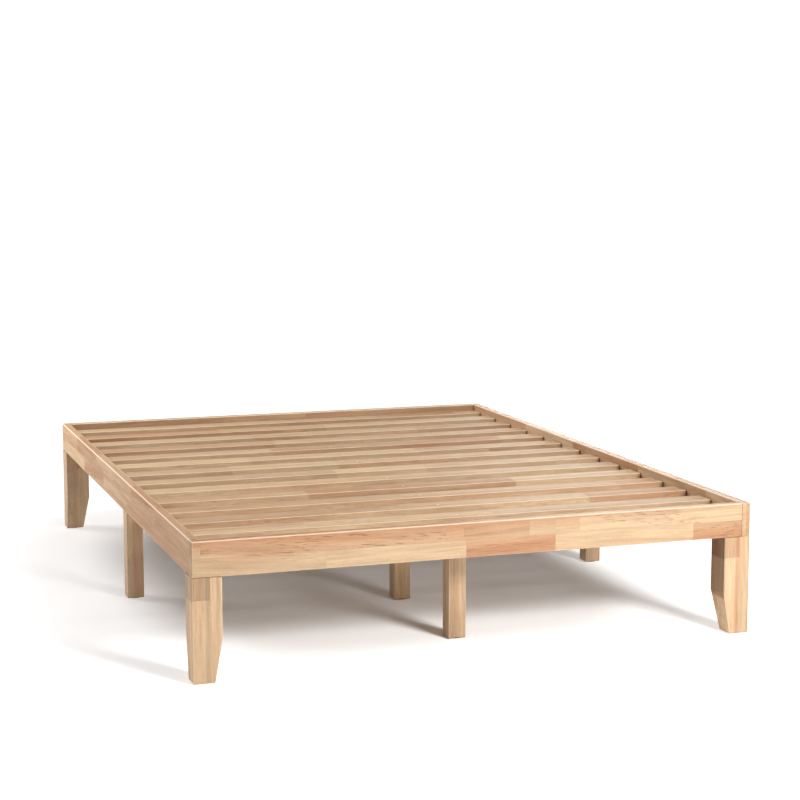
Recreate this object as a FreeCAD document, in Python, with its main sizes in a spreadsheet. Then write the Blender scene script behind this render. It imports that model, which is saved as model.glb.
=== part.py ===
"""Queen-size wooden platform bed frame, knocked down from rails, legs, ledgers, a centre beam and slats.

Frame: millimetres, +Z up, origin on the floor under the middle of the bed.
X runs across the bed (+X is the right side seen from the foot), +Y runs towards the head.
Every board is drawn in a local frame of its own, with a corner at the local origin, and is then placed.
"""
import FreeCAD, Part
import math
import os
import Sketcher
from FreeCAD import Placement, Rotation, Vector

DIMENSIONS = (
    # alias, millimetres, what it is
    ("overall_width", 1549, "outside width over the side rails, 61 in"),
    ("overall_length", 2045, "outside length over the end rails, 80.5 in"),
    ("overall_height", 364, "floor to the top of the rails"),
    ("rail_height", 93, "height of the four rails"),
    ("rail_thickness", 25, "thickness of the four rails"),
    ("rail_round", 4.5, "round-over on the outer and upper rail edges"),
    ("corner_leg_width", 76.2, "corner leg section under the rails"),
    ("corner_leg_foot", 56.5, "corner leg section on the floor"),
    ("taper_top", 114, "floor to the start of the corner leg taper"),
    ("middle_leg_width", 49.2, "section of the middle and centre legs"),
    ("middle_leg_inset", 12, "rail face to the middle leg's outer face"),
    ("middle_leg_station", 953, "foot face to the middle leg's centre"),
    ("centre_leg_station_1", 227, "foot face to the first centre leg"),
    ("centre_leg_station_2", 683, "foot face to the second centre leg"),
    ("leg_round", 2, "round-over on the leg edges"),
    ("pad_diameter", 38, "felt pad under each leg"),
    ("pad_thickness", 2.5, "felt pad thickness"),
    ("pad_chamfer", 0.4, "chamfer on a felt pad"),
    ("deck_depth", 22, "rail top down to the slat tops"),
    ("slat_width", 70, "slat width"),
    ("slat_thickness", 18, "slat thickness"),
    ("slat_count", 14, "number of slats"),
    ("slat_clearance", 2, "gap between the outer slats, slat ends and rails"),
    ("slat_round", 2, "round-over on the upper slat edges"),
    ("ledger_width", 30, "width of the slat ledgers"),
    ("ledger_height", 35, "height of the slat ledgers"),
    ("ledger_round", 1.5, "round-over on the inner ledger edges"),
    ("beam_width", 40, "width of the centre beam"),
    ("beam_height", 50, "height of the centre beam"),
    ("hanger_plate", 2.5, "steel thickness of the beam hangers"),
    ("hanger_height", 45, "height of the beam hangers"),
    ("hanger_reach", 40, "how far a hanger reaches along the beam"),
    ("hanger_flange", 25, "width of each hanger flange"),
    ("bolt_diameter", 6, "connector bolts of corner and middle legs"),
    ("bolt_hole", 7, "clearance hole of a connector bolt"),
    ("bolt_head_diameter", 12, "low flat head of a connector bolt"),
    ("bolt_head_height", 2.5, "height of the connector bolt head"),
    ("bolt_socket", 4, "hexagon socket across flats"),
    ("bolt_socket_floor", 0.5, "metal left under the hexagon socket"),
    ("bolt_chamfer", 0.6, "chamfer on a connector bolt's head and tip"),
    ("bolt_grip", 12, "length of connector bolt inside its insert"),
    ("washer_diameter", 14, "washer outside diameter"),
    ("washer_thickness", 1.6, "washer thickness"),
    ("insert_diameter", 10, "threaded insert in a rail, outside"),
    ("insert_length", 15, "threaded insert length"),
    ("side_bolt_level", 297, "height of the corner bolts into the side rails"),
    ("side_bolt_near", 40, "outer corner to the nearer side-rail bolt"),
    ("side_bolt_far", 61, "outer corner to the farther side-rail bolt"),
    ("end_bolt_low", 283, "height of the lower corner bolt into an end rail"),
    ("end_bolt_high", 311, "height of the upper corner bolt into an end rail"),
    ("end_bolt_offset", 65.2, "outer corner to the end-rail bolts"),
    ("middle_bolt_high", 303, "height of the upper middle leg bolt"),
    ("dowel_diameter", 8, "alignment dowels of the rail corners"),
    ("dowel_face_depth", 15, "dowel length in the covering rail"),
    ("dowel_end_depth", 25, "dowel length in the end grain of the butting rail"),
    ("rod_chamfer", 0.8, "chamfer on the ends of dowels and hanger bolts"),
    ("dowel_low", 14, "rail bottom to the lower dowel"),
    ("dowel_high", 72, "rail bottom to the upper dowel"),
    ("screw_diameter", 4, "shank of the wood screws"),
    ("screw_head", 8, "head of the wood screws"),
    ("screw_point", 4, "length of a screw's point"),
    ("screw_tip", 0.3, "radius at the end of a screw's point"),
    ("slot_reach", 2.2, "screw axis to the end of its crossed slots"),
    ("slot_half_width", 0.5, "screw axis to the side of a slot"),
    ("slot_depth", 1.2, "depth of the crossed slots"),
    ("pan_head_height", 2.2, "height of a pan head"),
    ("pan_head_chamfer", 1, "chamfer on a pan head"),
    ("slat_screw_length", 30, "screws that hold the slats down"),
    ("ledger_screw_length", 45, "screws that hold a ledger to its rail"),
    ("ledger_screw_margin", 60, "ledger end to its first screw"),
    ("hanger_screw_length", 20, "pan head screws of the beam hangers"),
    ("hanger_screw_low", 14, "hanger bottom to the lower screws"),
    ("hanger_screw_high", 34, "hanger bottom to the upper screws"),
    ("stud_diameter", 8, "hanger bolt on top of each centre leg"),
    ("stud_depth", 45, "hanger bolt length inside the leg"),
    ("stud_grip", 12, "hanger bolt length inside the beam insert"),
    ("beam_insert_diameter", 12, "threaded insert in the beam, outside"),
)

LEDGER_SCREW_COUNT = 5
# The slat, counted from 0 at the foot, that rests on the middle legs.
MIDDLE_SLAT = 6
Z_AXIS = Vector(0, 0, 1)

# Levels and half sizes that many pieces share, as expressions on the sheet.
HALF_WIDTH = "(sheet.overall_width / 2)"
HALF_LENGTH = "(sheet.overall_length / 2)"
RAIL_BOTTOM = "(sheet.overall_height - sheet.rail_height)"
DECK_TOP = "(sheet.overall_height - sheet.deck_depth)"
LEDGER_TOP = f"({DECK_TOP} - sheet.slat_thickness)"
LEDGER_BOTTOM = f"({LEDGER_TOP} - sheet.ledger_height)"
BEAM_BOTTOM = f"({LEDGER_TOP} - sheet.beam_height)"
BEAM_LENGTH = "(sheet.overall_length - 2 * sheet.rail_thickness)"
HANGER_BOTTOM = f"({BEAM_BOTTOM} - sheet.hanger_plate)"
MIDDLE_FRONT = "(sheet.middle_leg_station - sheet.middle_leg_width / 2)"
MIDDLE_BACK = "(sheet.middle_leg_station + sheet.middle_leg_width / 2)"
MIDDLE_DEPTH = "(sheet.middle_leg_inset + sheet.middle_leg_width)"
LEDGER_LINE = f"({HALF_WIDTH} - sheet.rail_thickness - sheet.ledger_width / 2)"
SLAT_LENGTH = "(sheet.overall_width - 2 * sheet.rail_thickness - 2 * sheet.slat_clearance)"
FIRST_SLAT = "(sheet.rail_thickness + sheet.slat_clearance + sheet.slat_width / 2)"
SLAT_PITCH = f"((sheet.overall_length - 2 * {FIRST_SLAT}) / (sheet.slat_count - 1))"
CHEEK_SCREW_DEPTH = "(sheet.hanger_screw_length - sheet.hanger_plate) / 2"
CHEEK_SCREW_LEVEL = "(sheet.hanger_plate + sheet.hanger_height / 2)"

doc = FreeCAD.newDocument("bed_frame")
sheet = doc.addObject("Spreadsheet::Sheet", "sheet")
for row, (alias, number, meaning) in enumerate(DIMENSIONS, start=1):
    sheet.set(f"A{row}", meaning)
    sheet.set(f"B{row}", str(number))
    sheet.setAlias(f"B{row}", alias)
doc.recompute()

subparts = []


# ---------------------------------------------------------------- helpers
def value(expression):
    """The number that an expression on the sheet gives."""
    return float(sheet.evalExpression(expression))


def new_body(label, position=("0", "0", "0"), turn=0, keep=True):
    """A body at a position given by expressions, turned about the vertical."""
    body = doc.addObject("PartDesign::Body", label)
    body.Label = label
    body.Placement = Placement(Vector(), Rotation(Z_AXIS, turn))
    for axis, expression in zip("xyz", position):
        body.setExpression(f"Placement.Base.{axis}", expression)
    if keep:
        subparts.append(body)
    return body


def new_sketch(body, role, offset="0"):
    """A sketch on one of the body's own origin planes, moved along that plane's normal."""
    planes = {feature.Role: feature for feature in body.Origin.OriginFeatures}
    sketch = body.newObject("Sketcher::SketchObject", f"{body.Label}_sketch")
    sketch.AttachmentSupport = (planes[role], [""])
    sketch.MapMode = "FlatFace"
    sketch.setExpression("AttachmentOffset.Base.z", offset)
    return sketch


def fix(sketch, element, point, where):
    """Tie a point of the sketch to a place given by two expressions."""
    for kind, expression in zip(("DistanceX", "DistanceY"), where):
        row = sketch.addConstraint(
            Sketcher.Constraint(kind, -1, 1, element, point, value(expression))
        )
        sketch.setExpression(f"Constraints[{row}]", expression)


def draw_polygon(sketch, corners):
    """A closed polygon through corners given by pairs of expressions."""
    points = [Vector(value(x), value(y), 0) for x, y in corners]
    lines = [
        sketch.addGeometry(Part.LineSegment(point, points[(n + 1) % len(points)]), False)
        for n, point in enumerate(points)
    ]
    for n, line in enumerate(lines):
        sketch.addConstraint(Sketcher.Constraint("Coincident", line, 2, lines[(n + 1) % len(lines)], 1))
    for line, corner in zip(lines, corners):
        fix(sketch, line, 1, corner)


def draw_rectangle(sketch, low, high):
    """A rectangle between two opposite corners given by pairs of expressions."""
    draw_polygon(sketch, (low, (high[0], low[1]), high, (low[0], high[1])))


def draw_circles(sketch, centres, diameter):
    """One circle of a diameter at each centre, all given by expressions."""
    for centre in centres:
        middle = Vector(value(centre[0]), value(centre[1]), 0)
        circle = sketch.addGeometry(Part.Circle(middle, Z_AXIS, value(diameter) / 2), False)
        row = sketch.addConstraint(Sketcher.Constraint("Diameter", circle, value(diameter)))
        sketch.setExpression(f"Constraints[{row}]", diameter)
        fix(sketch, circle, 3, centre)


def pad(body, sketch, length, reverse=False):
    """Extrude a sketch into the solid."""
    feature = body.newObject("PartDesign::Pad", f"{body.Label}_pad")
    feature.Profile = sketch
    feature.setExpression("Length", length)
    feature.Reversed = reverse
    doc.recompute()
    return feature


def pocket(body, sketch, depth=None, reverse=False):
    """Cut a sketch out of the solid, to a depth or right through, and make sure that it cuts."""
    before = body.Shape.Volume
    feature = body.newObject("PartDesign::Pocket", f"{body.Label}_pocket")
    feature.Profile = sketch
    feature.Reversed = reverse
    if depth is None:
        feature.Type = "ThroughAll"
        feature.Midplane = True
    else:
        feature.setExpression("Length", depth)
    doc.recompute()
    if body.Shape.Volume >= before:
        raise RuntimeError(f"a pocket of {body.Label} cuts nothing")
    return feature


def countersunk_holes(body, role, offset, centres, reverse=False):
    """Clearance holes for wood screws, countersunk where they enter."""
    sketch = new_sketch(body, role, offset)
    draw_circles(sketch, centres, "sheet.screw_diameter")
    before = body.Shape.Volume
    doc.recompute()
    hole = body.newObject("PartDesign::Hole", f"{body.Label}_hole")
    hole.Profile = sketch
    doc.recompute()
    hole.Threaded = False
    hole.DepthType = "ThroughAll"
    hole.HoleCutType = "Countersink"
    hole.HoleCutCustomValues = True
    hole.HoleCutCountersinkAngle = 90
    hole.Reversed = reverse
    hole.setExpression("Diameter", "sheet.screw_diameter")
    hole.setExpression("HoleCutDiameter", "sheet.screw_head")
    doc.recompute()
    if body.Shape.Volume >= before:
        raise RuntimeError(f"a screw hole of {body.Label} cuts nothing")


def round_edges(body, radius, chosen):
    """Fillet the edges of the body's tip whose bounding box a test picks."""
    base = body.Tip
    names = [f"Edge{n}" for n, edge in enumerate(base.Shape.Edges, start=1) if chosen(edge.BoundBox)]
    if not names:
        raise RuntimeError(f"no edge of {body.Label} to round")
    fillet = body.newObject("PartDesign::Fillet", f"{body.Label}_round")
    fillet.Base = (base, names)
    fillet.setExpression("Radius", radius)
    doc.recompute()


def near(a, b):
    """Whether two lengths are the same."""
    return abs(a - b) < 1e-4


def board(label, position, size, turn=0):
    """A body that is one board: a rectangle on the local XY plane, padded upwards."""
    body = new_body(label, position, turn)
    sketch = new_sketch(body, "XY_Plane")
    draw_rectangle(sketch, ("0", "0"), (size[0], size[1]))
    pad(body, sketch, size[2])
    return body


def evenly(first, last, count):
    """Expressions for evenly spaced places from first to last."""
    return [f"{first} + ({last} - {first}) * {n} / {count - 1}" for n in range(count)]


def ledger_screws_on_side(turned):
    """Places of the ledger screws along a side, measured from the foot face or the head face."""
    spans = (
        ("sheet.corner_leg_width", MIDDLE_FRONT),
        (MIDDLE_BACK, "(sheet.overall_length - sheet.corner_leg_width)"),
    )
    places = []
    for low, high in spans:
        first = f"({low} + sheet.ledger_screw_margin)"
        last = f"({high} - sheet.ledger_screw_margin)"
        places += evenly(first, last, LEDGER_SCREW_COUNT)
    if turned:
        places = [f"(sheet.overall_length - ({place}))" for place in places]
    return places


# ---------------------------------------------------------------- rails
def above_rail(level):
    """A height over the floor, measured from the rail's bottom edge."""
    return f"({level} - {RAIL_BOTTOM})"


def add_rail(label, corner, span, turn, inserts, pilots):
    """One rail of the pinwheel: it covers the rail before it and butts against the rail after it.

    The local X axis runs along the rail from the covering end, Y = 0 is the outer face.
    inserts and pilots are places (along the rail, above its bottom) on the inner face.
    """
    length = f"({span} - sheet.rail_thickness)"
    rail = board(label, (*corner, RAIL_BOTTOM), (length, "sheet.rail_thickness", "sheet.rail_height"), turn)
    top = value("sheet.rail_height")
    thickness = value("sheet.rail_thickness")

    def eased(box):
        upper = near(box.ZMin, top) and near(box.ZMax, top)
        butt_end = near(box.XMin, value(length))
        outer_corner = near(box.XMax, 0) and near(box.YMax, 0)
        long_edge = box.XLength > thickness
        return (upper and not butt_end) or outer_corner or (long_edge and not upper)

    round_edges(rail, "sheet.rail_round", eased)
    dowel_levels = ("sheet.dowel_low", "sheet.dowel_high")

    inner_face = "-sheet.rail_thickness"
    sketch = new_sketch(rail, "XZ_Plane", inner_face)
    draw_circles(sketch, inserts, "sheet.insert_diameter")
    pocket(rail, sketch, "sheet.insert_length", reverse=True)

    sketch = new_sketch(rail, "XZ_Plane", inner_face)
    draw_circles(sketch, [("sheet.rail_thickness / 2", level) for level in dowel_levels], "sheet.dowel_diameter")
    pocket(rail, sketch, "sheet.dowel_face_depth", reverse=True)

    sketch = new_sketch(rail, "YZ_Plane", length)
    draw_circles(sketch, [("sheet.rail_thickness / 2", level) for level in dowel_levels], "sheet.dowel_diameter")
    pocket(rail, sketch, "sheet.dowel_end_depth")

    sketch = new_sketch(rail, "XZ_Plane", inner_face)
    draw_circles(sketch, pilots[0], "sheet.screw_diameter")
    pocket(rail, sketch, pilots[1], reverse=True)


def end_rail_inserts():
    """Insert places of the foot and head rails: two over each other at each corner leg."""
    levels = (above_rail("sheet.end_bolt_low"), above_rail("sheet.end_bolt_high"))
    places = ("sheet.end_bolt_offset", "(sheet.overall_width - sheet.end_bolt_offset)")
    return [(place, level) for place in places for level in levels]


def side_rail_inserts(turned):
    """Insert places of a side rail: two side by side at each corner leg, two at the middle leg."""
    level = above_rail("sheet.side_bolt_level")
    offsets = ("sheet.side_bolt_near", "sheet.side_bolt_far")
    corner = [(offset, level) for offset in offsets]
    corner += [(f"(sheet.overall_length - {offset})", level) for offset in offsets]
    station = "sheet.middle_leg_station"
    if turned:
        station = f"(sheet.overall_length - {station})"
    middle = [(station, above_rail(name)) for name in ("sheet.end_bolt_low", "sheet.middle_bolt_high")]
    return corner + middle


def hanger_screw_places():
    """Places of the flange screws of a beam hanger, across the bed and over the hanger's bottom."""
    across = "(sheet.beam_width / 2 + sheet.hanger_plate + sheet.hanger_flange / 2)"
    levels = ("sheet.hanger_screw_low", "sheet.hanger_screw_high")
    return [(sign + across, level) for sign in ("-", "") for level in levels]


HANGER_PILOTS = (
    [
        (f"({HALF_WIDTH} + {across})", above_rail(f"({HANGER_BOTTOM} + {level})"))
        for across, level in hanger_screw_places()
    ],
    "(sheet.hanger_screw_length - sheet.hanger_plate)",
)


def ledger_pilots(turned):
    """Pilot holes of the ledger screws in a side rail, with their depth."""
    level = above_rail(f"({LEDGER_BOTTOM} + sheet.ledger_height / 2)")
    places = [(place, level) for place in ledger_screws_on_side(turned)]
    return places, "(sheet.ledger_screw_length - sheet.ledger_width)"


LEFT, RIGHT = f"-{HALF_WIDTH}", HALF_WIDTH
FOOT, HEAD = f"-{HALF_LENGTH}", HALF_LENGTH
WIDTH, LENGTH = "sheet.overall_width", "sheet.overall_length"
add_rail("foot_rail", (LEFT, FOOT), WIDTH, 0, end_rail_inserts(), HANGER_PILOTS)
add_rail("right_side_rail", (RIGHT, FOOT), LENGTH, 90, side_rail_inserts(False), ledger_pilots(False))
add_rail("head_rail", (RIGHT, HEAD), WIDTH, 180, end_rail_inserts(), HANGER_PILOTS)
add_rail("left_side_rail", (LEFT, HEAD), LENGTH, 270, side_rail_inserts(True), ledger_pilots(True))


# ---------------------------------------------------------------- corner legs
def add_corner_leg(label, corner, turn):
    """A corner leg: two outer faces flush with the rails, a post behind them, two tapered inner faces.

    The local origin is the outer corner and the leg spreads towards local +X and +Y.
    """
    leg = new_body(label, (*corner, "sheet.pad_thickness"), turn)
    width = "sheet.corner_leg_width"
    shoulder = f"({RAIL_BOTTOM} - sheet.pad_thickness)"

    sketch = new_sketch(leg, "XY_Plane")
    draw_rectangle(sketch, ("0", "0"), (width, width))
    pad(leg, sketch, shoulder)

    sketch = new_sketch(leg, "XY_Plane", shoulder)
    draw_rectangle(sketch, ("sheet.rail_thickness", "sheet.rail_thickness"), (width, width))
    pad(leg, sketch, f"({LEDGER_TOP} - {RAIL_BOTTOM})")

    taper = (
        ("sheet.corner_leg_foot", "0"),
        (width, "0"),
        (width, "(sheet.taper_top - sheet.pad_thickness)"),
    )
    for role in ("XZ_Plane", "YZ_Plane"):
        sketch = new_sketch(leg, role)
        draw_polygon(sketch, taper)
        pocket(leg, sketch)

    shoulder_level = value(shoulder)
    behind_rail = value("sheet.rail_thickness")
    bottom = 0

    def eased(box):
        rising = box.ZLength > value("sheet.rail_thickness")
        inside_corner = near(box.XMax, behind_rail) and near(box.YMax, behind_rail)
        post_edge = near(box.XMax, behind_rail) or near(box.YMax, behind_rail)
        foot_edge = near(box.ZMax, bottom)
        return (rising and not inside_corner and not post_edge) or foot_edge

    round_edges(leg, "sheet.leg_round", eased)

    side_bolts = [
        (place, f"({above_rail('sheet.side_bolt_level')} + {shoulder})")
        for place in ("sheet.side_bolt_near", "sheet.side_bolt_far")
    ]
    end_bolts = [
        ("sheet.end_bolt_offset", f"({above_rail(level)} + {shoulder})")
        for level in ("sheet.end_bolt_low", "sheet.end_bolt_high")
    ]
    side_rail_role, end_rail_role = "YZ_Plane", "XZ_Plane"
    if turn % 180:
        side_rail_role, end_rail_role = end_rail_role, side_rail_role
    for role, places in ((side_rail_role, side_bolts), (end_rail_role, end_bolts)):
        sketch = new_sketch(leg, role)
        draw_circles(sketch, places, "sheet.bolt_hole")
        pocket(leg, sketch)
    if leg.Shape.BoundBox.ZMax <= shoulder_level:
        raise RuntimeError(f"{label} has no post")

    slat_pilot = new_sketch(leg, "XY_Plane", f"({LEDGER_TOP} - sheet.pad_thickness)")
    across = f"({HALF_WIDTH} - {LEDGER_LINE})"
    place = (across, FIRST_SLAT)
    if turn % 180:
        place = (FIRST_SLAT, across)
    draw_circles(slat_pilot, [place], "sheet.screw_diameter")
    pocket(leg, slat_pilot, "(sheet.slat_screw_length - sheet.slat_thickness)")


add_corner_leg("foot_left_leg", (LEFT, FOOT), 0)
add_corner_leg("foot_right_leg", (RIGHT, FOOT), 90)
add_corner_leg("head_right_leg", (RIGHT, HEAD), 180)
add_corner_leg("head_left_leg", (LEFT, HEAD), 270)


# ---------------------------------------------------------------- middle and centre legs
def add_middle_leg(label, corner, turn, along):
    """A square leg under a side rail: a shoulder carries the rail, a post stands behind it.

    The local X axis runs inwards across the bed from the rail's outer face.
    """
    position = (corner, along, "sheet.pad_thickness")
    leg = new_body(label, position, turn)
    half = "(sheet.middle_leg_width / 2)"
    shoulder = f"({RAIL_BOTTOM} - sheet.pad_thickness)"

    sketch = new_sketch(leg, "XY_Plane")
    draw_rectangle(sketch, ("sheet.middle_leg_inset", f"-{half}"), (MIDDLE_DEPTH, half))
    pad(leg, sketch, shoulder)

    sketch = new_sketch(leg, "XY_Plane", shoulder)
    draw_rectangle(sketch, ("sheet.rail_thickness", f"-{half}"), (MIDDLE_DEPTH, half))
    pad(leg, sketch, f"({LEDGER_TOP} - {RAIL_BOTTOM})")

    behind_rail = value("sheet.rail_thickness")

    def eased(box):
        rising = box.ZLength > behind_rail
        foot_edge = near(box.ZMax, 0)
        return (rising and not near(box.XMin, behind_rail)) or foot_edge

    round_edges(leg, "sheet.leg_round", eased)

    sketch = new_sketch(leg, "YZ_Plane")
    levels = ("sheet.end_bolt_low", "sheet.middle_bolt_high")
    draw_circles(
        sketch,
        [("0", f"({above_rail(level)} + {shoulder})") for level in levels],
        "sheet.bolt_hole",
    )
    pocket(leg, sketch)

    sketch = new_sketch(leg, "XY_Plane", f"({LEDGER_TOP} - sheet.pad_thickness)")
    side = "-" if turn else ""
    middle_slat = f"({FIRST_SLAT} + {MIDDLE_SLAT} * {SLAT_PITCH})"
    place = (f"({HALF_WIDTH} - {LEDGER_LINE})", f"{side}({middle_slat} - sheet.middle_leg_station)")
    draw_circles(sketch, [place], "sheet.screw_diameter")
    pocket(leg, sketch, "(sheet.slat_screw_length - sheet.slat_thickness)")


def add_centre_leg(label, along):
    """A square leg under the centre beam, with a blind hole for its hanger bolt."""
    leg = new_body(label, ("0", along, "sheet.pad_thickness"))
    half = "(sheet.middle_leg_width / 2)"
    height = f"({BEAM_BOTTOM} - sheet.pad_thickness)"

    sketch = new_sketch(leg, "XY_Plane")
    draw_rectangle(sketch, (f"-{half}", f"-{half}"), (half, half))
    pad(leg, sketch, height)
    top = value(height)
    round_edges(leg, "sheet.leg_round", lambda box: not near(box.ZMin, top))

    sketch = new_sketch(leg, "XY_Plane", height)
    draw_circles(sketch, [("0", "0")], "sheet.stud_diameter")
    pocket(leg, sketch, "sheet.stud_depth")


MIDDLE_ALONG = f"(sheet.middle_leg_station - {HALF_LENGTH})"
add_middle_leg("left_middle_leg", LEFT, 0, MIDDLE_ALONG)
add_middle_leg("right_middle_leg", RIGHT, 180, MIDDLE_ALONG)

CENTRE_STATIONS = (
    f"(sheet.centre_leg_station_1 - {HALF_LENGTH})",
    f"(sheet.centre_leg_station_2 - {HALF_LENGTH})",
    f"({HALF_LENGTH} - sheet.centre_leg_station_2)",
    f"({HALF_LENGTH} - sheet.centre_leg_station_1)",
)
for number, station in enumerate(CENTRE_STATIONS, start=1):
    add_centre_leg(f"centre_leg_{number}", station)


# ---------------------------------------------------------------- ledgers, beam and slats
def slat_places():
    """Slat centres along the bed, measured from the foot face."""
    return [f"({FIRST_SLAT} + {n} * {SLAT_PITCH})" for n in range(int(value("sheet.slat_count")))]


def add_ledger(label, side, low, high):
    """A ledger screwed to a side rail, from one leg post to the next, with pilot holes for the slats.

    side is -1 on the left and 1 on the right; low and high are measured from the foot face.
    """
    inner_face = f"({HALF_WIDTH} - sheet.rail_thickness - sheet.ledger_width)"
    across = inner_face if side > 0 else f"-({inner_face} + sheet.ledger_width)"
    size = ("sheet.ledger_width", f"({high} - {low})", "sheet.ledger_height")
    ledger = board(label, (across, f"({low} - {HALF_LENGTH})", LEDGER_BOTTOM), size)
    free_edge = 0 if side > 0 else value("sheet.ledger_width")

    def eased(box):
        along = box.YLength > value("sheet.ledger_height")
        return along and near(box.XMin, free_edge) and near(box.XMax, free_edge)

    round_edges(ledger, "sheet.ledger_round", eased)

    sketch = new_sketch(ledger, "XY_Plane", "sheet.ledger_height")
    over = [
        ("sheet.ledger_width / 2", f"({place} - {low})")
        for place in slat_places()
        if value(low) < value(place) < value(high)
    ]
    draw_circles(sketch, over, "sheet.screw_diameter")
    pocket(ledger, sketch, "(sheet.slat_screw_length - sheet.slat_thickness)")

    first = "sheet.ledger_screw_margin"
    last = f"({size[1]} - sheet.ledger_screw_margin)"
    places = evenly(first, last, LEDGER_SCREW_COUNT)
    holes = [(place, "sheet.ledger_height / 2") for place in places]
    offset = "0" if side > 0 else "sheet.ledger_width"
    countersunk_holes(ledger, "YZ_Plane", offset, holes, reverse=side > 0)


def add_beam():
    """The centre beam, with pilot holes for the slats, the hangers and the leg inserts."""
    half = "(sheet.beam_width / 2)"
    beam = new_body("centre_beam", ("0", f"-{BEAM_LENGTH} / 2", BEAM_BOTTOM))
    sketch = new_sketch(beam, "XY_Plane")
    draw_rectangle(sketch, (f"-{half}", "0"), (half, BEAM_LENGTH))
    pad(beam, sketch, "sheet.beam_height")
    round_edges(beam, "sheet.ledger_round", lambda box: box.YLength > value("sheet.beam_width"))

    sketch = new_sketch(beam, "XY_Plane", "sheet.beam_height")
    over = [("0", f"({place} - sheet.rail_thickness)") for place in slat_places()]
    draw_circles(sketch, over, "sheet.screw_diameter")
    pocket(beam, sketch, "(sheet.slat_screw_length - sheet.slat_thickness)")

    sketch = new_sketch(beam, "XY_Plane")
    over_legs = [("0", f"({station} + {BEAM_LENGTH} / 2)") for station in CENTRE_STATIONS]
    draw_circles(sketch, over_legs, "sheet.beam_insert_diameter")
    pocket(beam, sketch, "sheet.insert_length", reverse=True)

    level = "sheet.hanger_height / 2"
    ends = ("sheet.hanger_reach / 2", f"({BEAM_LENGTH} - sheet.hanger_reach / 2)")
    for offset, reverse in ((half, False), (f"-{half}", True)):
        sketch = new_sketch(beam, "YZ_Plane", offset)
        draw_circles(sketch, [(place, level) for place in ends], "sheet.screw_diameter")
        pocket(beam, sketch, CHEEK_SCREW_DEPTH, reverse)


def add_beam_hanger(label, along, turn):
    """A bent steel hanger: flanges on the end rail, cheeks beside the beam, a seat under it.

    The local Y axis points from the end rail into the bed.
    """
    hanger = new_body(label, ("0", along, HANGER_BOTTOM), turn)
    inside = "(sheet.beam_width / 2)"
    outside = "(sheet.beam_width / 2 + sheet.hanger_plate)"
    wing = "(sheet.beam_width / 2 + sheet.hanger_plate + sheet.hanger_flange)"
    plate, reach = "sheet.hanger_plate", "sheet.hanger_reach"

    sketch = new_sketch(hanger, "XY_Plane")
    draw_rectangle(sketch, (f"-{outside}", "0"), (outside, reach))
    pad(hanger, sketch, plate)
    for sign, flange_role in (("", "right"), ("-", "left")):
        sketch = new_sketch(hanger, "XY_Plane")
        draw_polygon(
            sketch,
            (
                (sign + inside, "0"),
                (sign + wing, "0"),
                (sign + wing, plate),
                (sign + outside, plate),
                (sign + outside, reach),
                (sign + inside, reach),
            ),
        )
        pad(hanger, sketch, "sheet.hanger_height").Label = f"{label}_{flange_role}_flange"

    sketch = new_sketch(hanger, "XZ_Plane")
    draw_circles(sketch, hanger_screw_places(), "sheet.screw_diameter")
    pocket(hanger, sketch)
    sketch = new_sketch(hanger, "YZ_Plane")
    draw_circles(sketch, [("sheet.hanger_reach / 2", CHEEK_SCREW_LEVEL)], "sheet.screw_diameter")
    pocket(hanger, sketch)


def add_slat(label, place):
    """A slat across the bed: two screws into the ledgers and one into the beam."""
    half_width = "(sheet.slat_width / 2)"
    half = f"({SLAT_LENGTH} / 2)"
    slat = new_body(label, ("0", f"({place} - {HALF_LENGTH})", LEDGER_TOP))
    sketch = new_sketch(slat, "XY_Plane")
    draw_rectangle(sketch, (f"-{half}", f"-{half_width}"), (half, half_width))
    pad(slat, sketch, "sheet.slat_thickness")
    top = value("sheet.slat_thickness")
    round_edges(slat, "sheet.slat_round", lambda box: near(box.ZMin, top))
    screws = [(f"-{LEDGER_LINE}", "0"), ("0", "0"), (LEDGER_LINE, "0")]
    countersunk_holes(slat, "XY_Plane", "sheet.slat_thickness", screws)


for side, name in ((-1, "left"), (1, "right")):
    add_ledger(f"{name}_ledger_foot_end", side, "sheet.corner_leg_width", MIDDLE_FRONT)
    head_end = "(sheet.overall_length - sheet.corner_leg_width)"
    add_ledger(f"{name}_ledger_head_end", side, MIDDLE_BACK, head_end)
add_beam()
add_beam_hanger("foot_beam_hanger", f"-{BEAM_LENGTH} / 2", 0)
add_beam_hanger("head_beam_hanger", f"{BEAM_LENGTH} / 2", 180)
for number, place in enumerate(slat_places(), start=1):
    add_slat(f"slat_{number:02d}", place)


# ---------------------------------------------------------------- fasteners and pads
def turned(label, profile):
    """A piece turned about Z from a half profile of (radius, height) pairs."""
    body = new_body(label, keep=False)
    sketch = new_sketch(body, "XZ_Plane")
    draw_polygon(sketch, profile)
    revolution = body.newObject("PartDesign::Revolution", f"{label}_turned")
    revolution.Profile = sketch
    revolution.ReferenceAxis = (sketch, ["V_Axis"])
    revolution.Angle = 360
    doc.recompute()
    return body


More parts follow.
